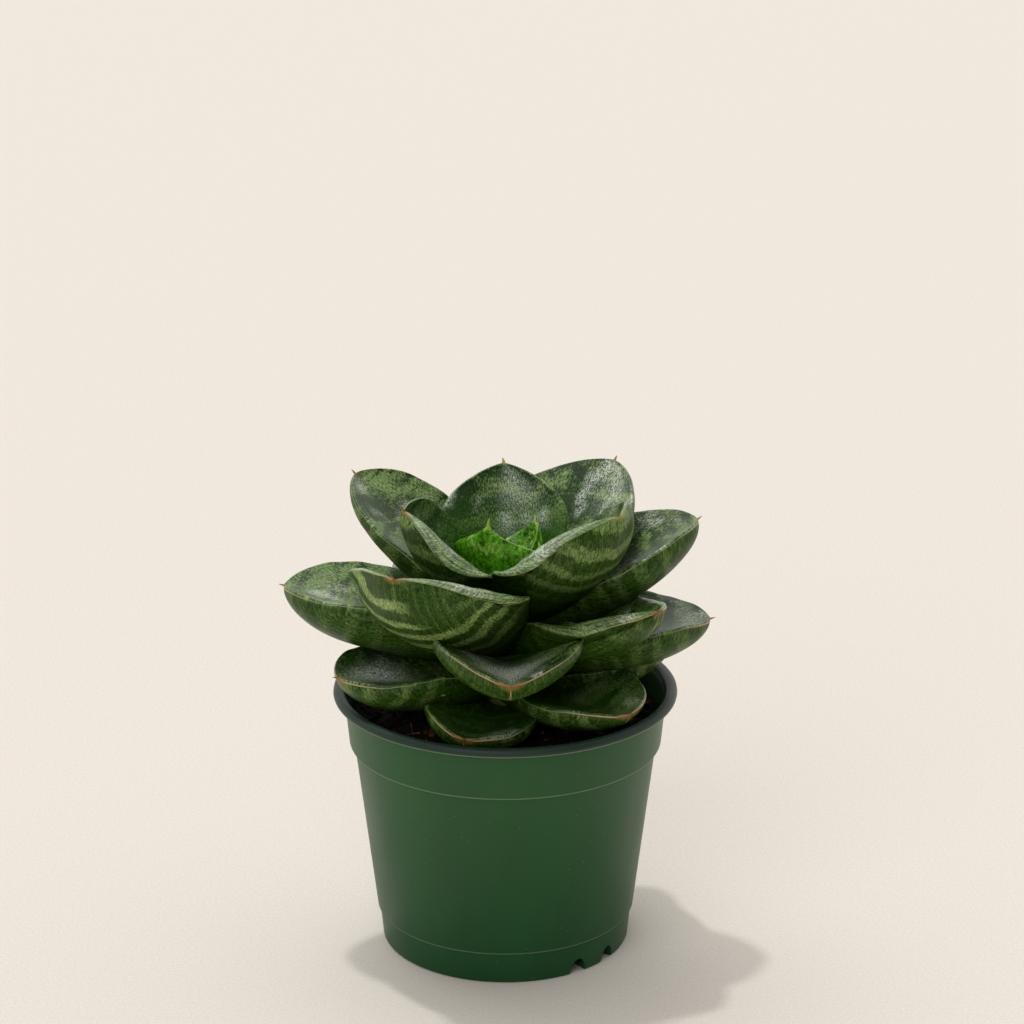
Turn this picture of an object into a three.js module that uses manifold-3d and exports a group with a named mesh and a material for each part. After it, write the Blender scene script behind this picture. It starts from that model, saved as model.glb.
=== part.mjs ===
// Potted snake plant of the dwarf, bird's-nest kind: a rosette of short thick leaves on a stub of
// stem, in a moulded nursery pot full of potting soil.
// Frame: millimetres, +Z up, origin at the centre of the pot's base, on the surface it stands on.
// The front of the plant faces -Y.
import * as THREE from 'three';
import { mergeVertices } from 'three/addons/utils/BufferGeometryUtils.js';
import Module from 'manifold-3d';

const wasm = await Module();
wasm.setup();

// ---------------------------------------------------------------- driving dimensions, mm

const CLEARANCE = 0.3; // gap left between pieces that touch in the real plant

const POT = {
  lipRadius: 54, // 108 mm across the rolled lip
  height: 84.7,
  lipDepth: 2.9,
  collarTopRadius: 50.6,
  collarFootRadius: 49.1,
  collarFoot: 66.3, // height of the ledge under the collar
  bodyTopRadius: 47.6,
  bandTopRadius: 40.8, // the body tapers down to a narrow band at its foot
  bandTop: 10.7,
  bandRadius: 40.1,
  baseRadius: 39.2,
  wall: 1.6,
  floor: 1.8,
  foot: 0.8, // radius of the edge round the base
  segments: 44,
};

const NOTCH = {
  width: 6,
  height: 5,
  depth: 14, // measured inwards along the radius
  bearings: [35.5, 54.5, 215.5, 234.5], // two pairs, on opposite sides of the base
};

const SOIL = { level: 77, crown: 2.2, segments: 40 };

const STEM = {
  bottom: 52,
  collar: 78,
  top: 109,
  bottomRadius: 4,
  collarRadius: 8,
  topRadius: 3,
  segments: 20,
};

// Every leaf bends along one arc, from its rise above level at the base to its rise at the tip.
// Its outline swells to its full width, closes to a point and ends in a thin spine.
const LEAF = {
  startRadius: 4, // distance of the leaf's base from the stem's axis
  baseWidth: 0.5, // width at the base, as a share of the full width
  widest: 0.58, // place of the full width along the leaf
  taper: 0.65, // power of the outline from there to the tip: higher is more pointed
  keel: 0.1, // depth of the fold along the middle
  wave: 0.8, // height of the ripple along the margins, mm
  rippleLeft: 0,
  rippleRight: 0.6, // where the ripple starts on each side, in turns
  roll: 0, // turn about the leaf's own length, degrees
  spine: 1.8, // length of the spine at the tip, mm
  spineWidth: 0.9,
  sides: 12, // points round a section
  rows: 11, // sections along the leaf
};

// bearing: 0 faces the front, 90 the right, -90 the left; degrees about the stem.
// start: height of the base on the stem. rise: degrees above level at the base and at the tip.
// cup: half of the arc across the leaf, in degrees, at the base and at the tip.
const LEAVES = [
  { name: 'heart_spear', bearing: 112, start: 108, length: 31, width: 9, rise: [66, 76], cup: [85, 60],
    thickness: 2.5, taper: 1.1, widest: 0.35, baseWidth: 0.8, wave: 0, startRadius: 1 },
  { name: 'heart_front', bearing: -27, start: 112, length: 33, width: 38, rise: [62, 84], cup: [80, 30],
    thickness: 3, taper: 1.6, widest: 0.42, spine: 2.6, startRadius: 2 },
  { name: 'heart_back', bearing: 132, start: 110, length: 30, width: 22, rise: [60, 78], cup: [80, 40],
    thickness: 3, taper: 1.2, widest: 0.45, spine: 2.2, startRadius: 2 },
  { name: 'top_back', bearing: 181, start: 110, length: 48, width: 41, rise: [45, 66], cup: [60, 26],
    thickness: 5, taper: 0.85 },
  { name: 'top_left', bearing: -67, start: 109, length: 50, width: 47, rise: [37, 68], cup: [70, 50],
    thickness: 5, baseWidth: 0.6, roll: -7 },
  { name: 'top_right', bearing: 52, start: 108, length: 60, width: 57, rise: [28, 66], cup: [70, 47],
    thickness: 6, baseWidth: 0.65, widest: 0.62 },
  { name: 'high_left_front', bearing: -38, start: 98.5, length: 65, width: 60, rise: [14, 60],
    cup: [60, 42], thickness: 6, roll: 10 },
  { name: 'high_left_back', bearing: -113, start: 104, length: 66, width: 46, rise: [40, 46],
    cup: [60, 18], thickness: 6, roll: -2 },
  { name: 'high_right_back', bearing: 136, start: 105, length: 64, width: 51, rise: [37, 48],
    cup: [60, 24], thickness: 5, taper: 0.75 },
  { name: 'high_back', bearing: 170, start: 97, length: 60, width: 36, rise: [38, 38], cup: [60, 20],
    thickness: 6 },
  { name: 'high_right', bearing: 98, start: 102, length: 68, width: 46, rise: [34, 29], cup: [60, 18],
    thickness: 10 },
  { name: 'mid_right_front', bearing: 57, start: 100, length: 57, width: 37, rise: [16, 28],
    cup: [60, 24], thickness: 9, roll: -6 },
  { name: 'mid_front', bearing: 2, start: 96, length: 50, width: 47, rise: [17, 3], cup: [60, 14],
    thickness: 9, keel: 0.3, wave: 0.4 },
  { name: 'mid_left', bearing: -94, start: 96.5, length: 70, width: 45, rise: [22, 11], cup: [60, 18],
    thickness: 12, roll: 1 },
  { name: 'mid_right', bearing: 91, start: 94, length: 63, width: 41, rise: [14, 9], cup: [60, 18],
    thickness: 10 },
  { name: 'mid_back_left', bearing: -154, start: 94, length: 62, width: 40, rise: [21, 14],
    cup: [60, 18], thickness: 9 },
  { name: 'mid_back_right', bearing: 148, start: 90, length: 62, width: 38, rise: [22, 14],
    cup: [60, 18], thickness: 8 },
  { name: 'low_left', bearing: -68, start: 87, length: 54, width: 38, rise: [10, 8], cup: [50, 14],
    thickness: 10, taper: 0.5 },
  { name: 'low_front', bearing: -15, start: 80, length: 46, width: 35, rise: [8, 6], cup: [50, 16],
    thickness: 8, roll: -6 },
  { name: 'low_right', bearing: 47, start: 84, length: 50, width: 40, rise: [8, 4], cup: [50, 14],
    thickness: 8, taper: 0.52 },
  { name: 'low_right_back', bearing: 102, start: 82, length: 52, width: 32, rise: [16, 12],
    cup: [50, 20], thickness: 8 },
  { name: 'low_back', bearing: 165, start: 83, length: 48, width: 34, rise: [10, 6], cup: [50, 16],
    thickness: 8 },
  { name: 'low_left_back', bearing: -133, start: 85, length: 50, width: 36, rise: [12, 8],
    cup: [50, 16], thickness: 8 },
];

const FINISH = {
  pot: { color: 0x2c4b2d, roughness: 0.5, metalness: 0 },
  soil: { color: 0x231a14, roughness: 0.95, metalness: 0 },
  stem: { color: 0x6f7f3a, roughness: 0.6, metalness: 0 },
  outerLeaf: { color: 0x35522f, roughness: 0.4, metalness: 0 },
  heartLeaf: { color: 0x4c7a26, roughness: 0.4, metalness: 0 },
};

// ---------------------------------------------------------------- solids

const DEGREE = Math.PI / 180;
const UP = new THREE.Vector3(0, 0, 1);
const clamp = THREE.MathUtils.clamp;
const lerp = THREE.MathUtils.lerp;

// A closed geometry as a manifold-3d solid. A geometry that came out inside out is turned round.
function solidFrom(geometry) {
  const bare = geometry.index ? geometry.toNonIndexed() : geometry.clone();
  bare.deleteAttribute('normal');
  bare.deleteAttribute('uv');
  const merged = mergeVertices(bare, 1e-4);
  const corners = merged.index.array;
  const faces = [];
  for (let i = 0; i < corners.length; i += 3) {
    const [a, b, c] = [corners[i], corners[i + 1], corners[i + 2]];
    if (a !== b && b !== c && c !== a) faces.push(a, b, c);
  }
  const vertProperties = merged.attributes.position.array;
  const solid = (triVerts) => new wasm.Manifold(new wasm.Mesh({ numProp: 3, vertProperties, triVerts }));
  const made = solid(new Uint32Array(faces));
  return made.volume() > 0 ? made : solid(new Uint32Array(faces.reverse()));
}

// The largest of a solid's separate bodies: a cut can leave a sliver beside it.
function largestBody(solid) {
  return solid.decompose().reduce((best, body) => (body.volume() > best.volume() ? body : best));
}

function geometryFrom(solid) {
  const mesh = solid.getMesh();
  const geometry = new THREE.BufferGeometry();
  geometry.setAttribute('position', new THREE.BufferAttribute(mesh.vertProperties, 3));
  geometry.setIndex(new THREE.BufferAttribute(mesh.triVerts, 1));
  geometry.computeVertexNormals();
  return geometry;
}

// A profile of [radius, height] points turned about the vertical axis.
function turned(profile, segments) {
  const points = profile.map(([radius, height]) => new THREE.Vector2(radius, height));
  return solidFrom(new THREE.LatheGeometry(points, segments).rotateX(Math.PI / 2));
}

// ---------------------------------------------------------------- leaf

// A unit sphere with its poles at the leaf's base and tip is moved on to the leaf: its rows are
// the sections along the leaf, and its front and rear halves are the upper and lower faces.
// grow makes the leaf thicker all round, for the space that it is cut out of its neighbours with.
function leafGeometry(choice, grow) {
  const leaf = { ...LEAF, ...choice };
  const bladeEnd = 1 - leaf.spine / leaf.length;
  const lastRow = leaf.rows - 1; // the section where the blade ends and the spine begins
  const placeAt = (row) => (row > lastRow ? 1 : bladeEnd * (1 - (1 - row / lastRow) ** 1.3));

  const geometry = new THREE.SphereGeometry(1, leaf.sides, leaf.rows);
  const positions = geometry.attributes.position;
  for (let i = 0; i < positions.count; i += 1) {
    const row = Math.floor(i / (leaf.sides + 1));
    const turn = ((i % (leaf.sides + 1)) / leaf.sides) * 2 * Math.PI;
    const atPole = row === 0 || row === leaf.rows;
    const point = atPole
      ? spinePoint(leaf, placeAt(row))
      : sectionPoint(leaf, placeAt(row), bladeEnd, Math.cos(turn), Math.sin(turn), grow);
    positions.setXYZ(i, point.x, point.y, point.z);
  }
  return geometry;
}

function riseAt(leaf, t) {
  return lerp(leaf.rise[0], leaf.rise[1], t) * DEGREE;
}

// The point on the leaf's middle line a share t of the way from its base to its tip.
function spinePoint(leaf, t) {
  const steps = 24;
  const point = new THREE.Vector3(0, -leaf.startRadius, leaf.start);
  const stride = (leaf.length * t) / steps;
  for (let i = 0; i < steps; i += 1) {
    const rise = riseAt(leaf, (t * (i + 0.5)) / steps);
    point.y -= Math.cos(rise) * stride;
    point.z += Math.sin(rise) * stride;
  }
  return point.applyAxisAngle(UP, leaf.bearing * DEGREE);
}

function halfWidthAt(leaf, s) {
  const swell = Math.sin((Math.PI / 2) * clamp(s / leaf.widest, 0, 1)) ** 1.2;
  const close = clamp((s - leaf.widest) / (1 - leaf.widest), 0, 1);
  const share = s < leaf.widest ? lerp(leaf.baseWidth, 1, swell) : (1 - close ** 2) ** leaf.taper;
  const spine = clamp((s - 0.8) / 0.15, 0, 1);
  return (leaf.width / 2) * share + (leaf.spineWidth / 2) * spine;
}

function thicknessAt(leaf, s) {
  const swell = 0.55 + 0.45 * Math.sin((Math.PI / 2) * clamp(s / 0.55, 0, 1));
  const thin = (1 - clamp((s - 0.55) / 0.45, 0, 1) ** 2.4) ** 0.55;
  return Math.max(leaf.thickness * swell * thin, leaf.spineWidth);
}

function rippleAt(leaf, s, u) {
  const phase = u < 0 ? leaf.rippleLeft : leaf.rippleRight;
  const fade = clamp(s * 2, 0, 1) * clamp((1 - s) * 6, 0, 1);
  return leaf.wave * Math.abs(u) ** 3 * Math.sin(2 * Math.PI * (1.3 * s + phase)) * fade;
}

// A point on the section at t. u runs across the leaf from margin to margin, -1 to 1, and side is
// positive on the upper face and negative on the lower one.
function sectionPoint(leaf, t, bladeEnd, u, side, grow) {
  const s = Math.min(t / bladeEnd, 1);
  const rise = riseAt(leaf, t);
  const along = new THREE.Vector3(0, -Math.cos(rise), Math.sin(rise));
  const across = new THREE.Vector3(1, 0, 0);
  const face = new THREE.Vector3().crossVectors(along, across).normalize();
  for (const direction of [across, face]) {
    direction.applyAxisAngle(along, leaf.roll * DEGREE).applyAxisAngle(UP, leaf.bearing * DEGREE);
  }

  // Across, the upper face is an arc with a shallow fold along its middle and rippled margins.
  const arc = lerp(leaf.cup[1], leaf.cup[0], (1 - t) ** 1.6) * DEGREE;
  const halfWidth = halfWidthAt(leaf, s);
  const fold = leaf.keel * (Math.sqrt(u * u + 0.01) - 0.1);
  const sideways = (halfWidth * Math.sin(arc * u)) / arc;
  const lift = halfWidth * ((1 - Math.cos(arc * u)) / arc + fold) + rippleAt(leaf, s, u);
  const normal = turnedAcross(face, across, -arc * u);
  const tangent = turnedAcross(across, face, arc * u);

  const flat = Math.abs(side) < 1e-6; // on the margin itself
  const depth = Math.min(thicknessAt(leaf, s), halfWidth * 1.2) * (1 - Math.abs(u) ** 2.6) ** 0.55;
  const offset = flat ? 0 : side > 0 ? grow : -grow - depth;
  return spinePoint(leaf, t)
    .addScaledVector(across, sideways)
    .addScaledVector(face, lift)
    .addScaledVector(normal, offset)
    .addScaledVector(tangent, Math.sign(u) * grow * 1.5 * Math.abs(u) ** 4);
}

// A unit vector turned from one direction towards another at right angles to it.
function turnedAcross(from, towards, angle) {
  return from.clone().multiplyScalar(Math.cos(angle)).addScaledVector(towards, Math.sin(angle));
}

// ---------------------------------------------------------------- pot, soil and stem

function potSolid() {
  const lipBottom = POT.height - POT.lipDepth;
  const lipRound = POT.lipDepth / 2;
  const quarter = Math.SQRT1_2;
  const outside = [
    [0, 0],
    [POT.baseRadius - POT.foot, 0],
    [POT.baseRadius - POT.foot * (1 - quarter), POT.foot * (1 - quarter)],
    [POT.baseRadius, POT.foot],
    [POT.bandRadius, POT.bandTop - 0.8],
    [POT.bandTopRadius, POT.bandTop],
    [POT.bodyTopRadius, POT.collarFoot + 0.6],
    [POT.collarFootRadius - 0.5, POT.collarFoot],
    [POT.collarFootRadius, POT.collarFoot + 0.5],
    [POT.collarTopRadius, lipBottom - 0.3],
    [POT.lipRadius - 0.8, lipBottom],
    [POT.lipRadius, lipBottom + 0.9],
    [POT.lipRadius - 0.2, POT.height - lipRound],
    [POT.lipRadius - 1.1, POT.height - 0.3],
    [POT.lipRadius - 2, POT.height],
    [POT.lipRadius - 3.2, POT.height - 0.5],
  ];
  const inside = [
    [POT.collarTopRadius - POT.wall, lipBottom - 1.5],
    [POT.collarFootRadius - POT.wall, POT.collarFoot + 1.2],
    [POT.bodyTopRadius - POT.wall, POT.collarFoot - 0.6],
    [POT.bandTopRadius - POT.wall, POT.bandTop],
    [POT.baseRadius - POT.wall, POT.floor + 1],
    [POT.baseRadius - POT.wall - 1, POT.floor],
    [0, POT.floor],
  ];
  let pot = turned([...outside, ...inside], POT.segments);
  for (const bearing of NOTCH.bearings) pot = pot.subtract(notchSolid(bearing));
  return pot;
}

// An arched opening in the edge of the base, through the wall and the rim of the floor.
function notchSolid(bearing) {
  const half = NOTCH.width / 2;
  const spring = NOTCH.height - half * 0.6;
  const arch = new THREE.Shape();
  arch.moveTo(-half, -1);
  arch.lineTo(half, -1);
  arch.lineTo(half, spring);
  arch.quadraticCurveTo(half * 0.8, NOTCH.height, 0, NOTCH.height);
  arch.quadraticCurveTo(-half * 0.8, NOTCH.height, -half, spring);
  arch.closePath();
  const geometry = new THREE.ExtrudeGeometry(arch, {
    depth: NOTCH.depth,
    bevelEnabled: false,
    curveSegments: 4,
  });
  geometry.rotateX(Math.PI / 2);
  geometry.translate(0, -(POT.bandRadius + 2) + NOTCH.depth, 0);
  geometry.rotateZ(bearing * DEGREE);
  return solidFrom(geometry);
}

function soilSolid() {
  const inner = (radius) => radius - POT.wall - CLEARANCE;
  return turned(
    [
      [0, POT.floor + CLEARANCE],
      [inner(POT.baseRadius) - 1.2, POT.floor + CLEARANCE],
      [inner(POT.baseRadius), POT.floor + CLEARANCE + 1.2],
      [inner(POT.bandTopRadius), POT.bandTop],
      [inner(POT.bodyTopRadius), POT.collarFoot - 0.8],
      [inner(POT.collarFootRadius), POT.collarFoot + 1.4],
      [inner(POT.collarTopRadius) - 0.6, SOIL.level - 1],
      [inner(POT.collarTopRadius) - 4, SOIL.level],
      [STEM.collarRadius * 2, SOIL.level + SOIL.crown * 0.7],
      [0, SOIL.level + SOIL.crown],
    ],
    SOIL.segments,
  );
}

function stemSolid(grow) {
  return turned(
    [
      [0, STEM.bottom - grow],
      [STEM.bottomRadius + grow, STEM.bottom + 1 - grow],
      [STEM.collarRadius - 1 + grow, STEM.collar - 8],
      [STEM.collarRadius + grow, STEM.collar],
      [STEM.collarRadius + grow, STEM.top - 16],
      [STEM.topRadius + grow, STEM.top - 1 + grow],
      [0, STEM.top + grow],
    ],
    STEM.segments,
  );
}

// ---------------------------------------------------------------- the plant

const plant = new THREE.Group();
plant.name = 'potted_snake_plant';

function addPiece(name, solid, finish) {
  const mesh = new THREE.Mesh(geometryFrom(solid), new THREE.MeshStandardMaterial(finish));
  mesh.name = name;
  plant.add(mesh);
}

// The list runs from the heart outwards. Each leaf clasps the stem and the leaves inside it, so
// those are cut out of it, with the clearance all round.
const stemSpace = stemSolid(CLEARANCE);
const innerSpaces = [stemSpace];
for (const leaf of LEAVES) {
  const whole = solidFrom(leafGeometry(leaf, 0));
  const cut = largestBody(innerSpaces.reduce((rest, space) => rest.subtract(space), whole));
  const finish = leaf.name.startsWith('heart') ? FINISH.heartLeaf : FINISH.outerLeaf;
  addPiece(`leaf_${leaf.name}`, cut, finish);
  innerSpaces.push(solidFrom(leafGeometry(leaf, CLEARANCE)));
}

const pot = potSolid();
const soil = innerSpaces.reduce((rest, space) => rest.subtract(space), soilSolid());

addPiece('nursery_pot', pot, FINISH.pot);
addPiece('potting_soil', largestBody(soil), FINISH.soil);
addPiece('stem', stemSolid(0), FINISH.stem);

export default plant;
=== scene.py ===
"""Potted dwarf snake plant: a rosette of thick leaves in a moulded nursery pot of potting soil.

Lengths in the dataclasses are millimetres and angles are degrees. Meshes are made in metres, in
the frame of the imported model: +Z up, the origin at the centre of the pot's base, the front at -Y.
"""

import logging
import math
import random
from dataclasses import dataclass
from enum import Enum

import bmesh
import bpy
import numpy as np
from mathutils import Euler, Matrix, Vector


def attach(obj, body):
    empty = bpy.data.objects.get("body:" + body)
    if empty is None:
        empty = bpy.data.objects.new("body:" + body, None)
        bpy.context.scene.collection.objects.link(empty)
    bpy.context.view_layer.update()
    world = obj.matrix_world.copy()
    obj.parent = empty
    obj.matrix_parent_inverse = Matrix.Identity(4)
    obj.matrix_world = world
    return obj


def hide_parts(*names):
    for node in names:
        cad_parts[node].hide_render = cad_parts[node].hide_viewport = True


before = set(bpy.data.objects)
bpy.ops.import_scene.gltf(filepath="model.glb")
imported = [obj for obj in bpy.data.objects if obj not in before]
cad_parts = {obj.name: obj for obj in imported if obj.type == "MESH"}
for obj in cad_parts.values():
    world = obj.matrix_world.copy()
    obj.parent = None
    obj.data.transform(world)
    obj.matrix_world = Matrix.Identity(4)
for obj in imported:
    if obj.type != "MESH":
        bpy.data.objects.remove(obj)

LOG = logging.getLogger("snake_plant")
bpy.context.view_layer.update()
MM = 0.001
FULL_TURN = 2 * math.pi
BLEND = {"output": 2, "data_type": "RGBA"}  # makes a Mix node blend colours, in inputs 6 and 7
SMOOTH = {"interpolation_type": "SMOOTHSTEP"}
Array = np.ndarray
Piece = bpy.types.Object
Shape = bmesh.types.BMesh
Material = bpy.types.Material
Socket = bpy.types.NodeSocket
Inputs = dict[int | str, object] | tuple[object, ...]
Pair = tuple[float, float]
Triple = tuple[float, float, float]


def linear(hex_colour: str) -> tuple[float, float, float, float]:
    """Turn an sRGB colour into the linear colour that Blender works in.

    Args:
        hex_colour: The colour as six hexadecimal digits, such as "2c4b2d".

    Returns:
        Linear red, green and blue, and an alpha of one.
    """
    shares = [int(hex_colour[i : i + 2], 16) / 255 for i in (0, 2, 4)]
    red, green, blue = (c / 12.92 if c <= 0.04045 else ((c + 0.055) / 1.055) ** 2.4 for c in shares)
    return red, green, blue, 1.0


class Recipe:
    """A material or a sky while its nodes are being put together."""

    def __init__(self, name: str, owner: bpy.types.World | None = None) -> None:
        """Start a node tree with the shader that Blender gives it.

        Args:
            name: The name of the material.
            owner: The world that the nodes are for, where it isn't a new material.
        """
        self.owner = owner or bpy.data.materials.new(name)
        self.owner.use_nodes = True
        self.tree = self.owner.node_tree

    def feed(self, node: bpy.types.Node, inputs: Inputs) -> None:
        """Link or set a node's inputs.

        Args:
            node: The node.
            inputs: What each input reads, by its number or name, or in order from the first. It
                is a socket to link, or a value to set.
        """
        for key, source in inputs.items() if isinstance(inputs, dict) else enumerate(inputs):
            if isinstance(source, Socket):
                self.tree.links.new(source, node.inputs[key])
            else:
                node.inputs[key].default_value = source

    def add(
        self, kind: str, inputs: Inputs = (), output: int | str = 0, **settings: object
    ) -> Socket:
        """Add a node, with its settings and with what its inputs are linked or set to.

        Args:
            kind: The node's type without its "ShaderNode" prefix.
            inputs: What its inputs read, as feed takes them.
            output: The number or name of the output that is handed back.
            **settings: The node's own properties.

        Returns:
            The chosen output socket.
        """
        node = self.tree.nodes.new(f"ShaderNode{kind}")
        for name, value in settings.items():
            setattr(node, name, value)
        self.feed(node, inputs)
        return node.outputs[output]

    def pattern(
        self,
        spot: Socket,
        sizes: tuple[float, ...],
        detail: float = 2,
        roughness: float = 0.5,
        distortion: float = 0,
        shift: Triple = (0, 0, 0),
    ) -> Socket:
        """Irregular patches of a real size.

        Args:
            spot: The coordinates that they follow.
            sizes: Their size along each axis, in the unit of the coordinates.
            detail: How many finer layers they have.
            roughness: The strength of the finer layers.
            distortion: How far they are stirred.
            shift: How far they are moved along each axis, in patches.

        Returns:
            The strength of the patches, from 0 to 1.
        """
        where = self.add("Mapping", {0: spot, 1: shift, 3: [1 / size for size in sizes]})
        return self.add("TexNoise", {"Vector": where, "Scale": 1, "Detail": detail,
                                     "Roughness": roughness, "Distortion": distortion})

    def dots(
        self,
        spot: Socket,
        sizes: tuple[float, ...],
        chosen: Pair,
        reach: Pair,
        strength: float,
    ) -> Socket:
        """Small round dots in some of the cells of an irregular grid.

        Args:
            spot: The coordinates that they follow.
            sizes: The size of a cell along each axis, in the unit of the coordinates.
            chosen: The cell's own number, from 0 to 1, where its dot starts to show and is full.
            reach: Where a dot ends and where it is full, as shares of a cell.
            strength: The strength of a full dot.

        Returns:
            The strength of the dots, and 0 between them.
        """
        where = self.add("Mapping", {0: spot, 3: [1 / size for size in sizes]})
        far = self.add("TexVoronoi", {"Vector": where, "Scale": 1}, output="Distance")
        own = self.add("SeparateXYZ", (far.node.outputs["Color"],))
        own = self.add("MapRange", (own, *chosen))
        dot = self.add("MapRange", (far, *reach, 0, strength))
        return self.add("Math", (dot, own), operation="MULTIPLY")

    def cover(self, colour: Socket | str, layer: Socket | str, *shares: Socket | float) -> Socket:
        """Lay one colour over another, as strongly as the product of some shares.

        Args:
            colour: The colour underneath, as a socket or as sRGB hexadecimal digits.
            layer: The colour on top, in the same way.
            *shares: Values from 0 to 1.

        Returns:
            The blended colour.
        """
        below, above = (linear(c) if isinstance(c, str) else c for c in (colour, layer))
        total = shares[0]
        for share in shares[1:]:
            total = self.add("Math", (total, share), operation="MULTIPLY")
        return self.add("Mix", {0: total, 6: below, 7: above}, **BLEND)

    def finish(self, inputs: Inputs, shader: str = "Principled BSDF") -> Material:
        """Link or set the inputs of the shader.

        Args:
            inputs: What its inputs read, as feed takes them.
            shader: The shader's name.

        Returns:
            The finished material.
        """
        self.feed(self.tree.nodes[shader], inputs)
        return self.owner


def piece_from(name: str, shape: Shape, material: Material, smooth: bool = True) -> Piece:
    """Make an object of a finished shape and put it in the scene.

    Args:
        name: The piece's name.
        shape: The shape in metres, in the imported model's frame. It is freed.
        material: What the piece is made of.
        smooth: Whether its faces are shaded as one surface.

    Returns:
        The piece, at the origin.
    """
    mesh = bpy.data.meshes.new(name)
    for face in shape.faces:
        face.smooth = smooth
    shape.to_mesh(mesh)
    shape.free()
    mesh.materials.append(material)
    piece = bpy.data.objects.new(name, mesh)
    bpy.context.scene.collection.objects.link(piece)
    return piece


def fit_piece(piece: Piece, slot: str, *nodes: str) -> Piece:
    """Ride a piece on the plant and hide the CAD nodes that it stands for.

    Args:
        piece: The finished piece.
        slot: A material slot. It is not used.
        *nodes: The CAD nodes that it replaces.

    Returns:
        The same piece.
    """
    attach(piece, "root")
    if nodes:
        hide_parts(*nodes)
    LOG.info("%s: %d faces", piece.name, len(piece.data.polygons))
    return piece


def turned_shape(profile: list[Pair], steps: int) -> Shape:
    """Spin a closed profile, whose two ends are on the vertical axis, into a solid.

    Args:
        profile: Radius and height of each point, in millimetres.
        steps: The number of facets round the solid.

    Returns:
        The solid in metres, with its faces outwards.
    """
    shape = bmesh.new()
    verts = [shape.verts.new((radius * MM, 0, height * MM)) for radius, height in profile]
    edges = [shape.edges.new(pair) for pair in zip(verts[:-1], verts[1:])]
    bmesh.ops.spin(
        shape, geom=verts + edges, cent=(0, 0, 0), axis=(0, 0, 1), angle=FULL_TURN, steps=steps,
        use_merge=True,
    )
    bmesh.ops.remove_doubles(shape, verts=shape.verts, dist=0.01 * MM)
    bmesh.ops.recalc_face_normals(shape, faces=shape.faces)
    return shape


# ---------------------------------------------------------------------------- leaf


class LeafAge(Enum):
    """The two finishes of a leaf, by the name of their material slot."""

    GROWN = "leaf"
    HEART = "heart_leaf"


@dataclass(frozen=True)
class LeafShape:
    """Sizes and habits of one leaf.

    A bearing of 0 faces the front, 90 the right and -90 the left. The rise is the slope above
    level at the leaf's base and at its tip. The cup is half of the arc across the leaf, at its
    base and at its tip. The strengths of the look run from 0 to 1.
    """

    name: str
    bearing: float
    start: float
    length: float
    width: float
    rise: Pair
    cup: Pair
    thickness: float
    taper: float = 0.65
    widest: float = 0.58
    base_width: float = 0.5
    keel: float = 0.1
    wave: float = 0.8
    roll: float = 0.0
    spine: float = 1.8
    start_radius: float = 4.0
    age: LeafAge = LeafAge.GROWN
    bands: float = 0.4  # strength of the cross bands underneath
    cloud: float = 0.6  # strength of the pale clouds on top, and of the painted highlight patches
    fresh: float = 0.4  # how green the leaf is towards its base, and how deep the painted shade is under it
    cork: float = 0.2  # how brown and corky the margins are near the tip
    lip: float = 1.0  # radius that the upper face rolls over the margin with
    curl: Pair = (0, 0)  # degrees that the -1 and +1 margins curl outwards
    curl_share: float = 0.2  # share of the half width that curls
    painted_highlight_spot: Triple = (0, 0.8, 0)  # a painted highlight patch: across, along, strength


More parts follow.
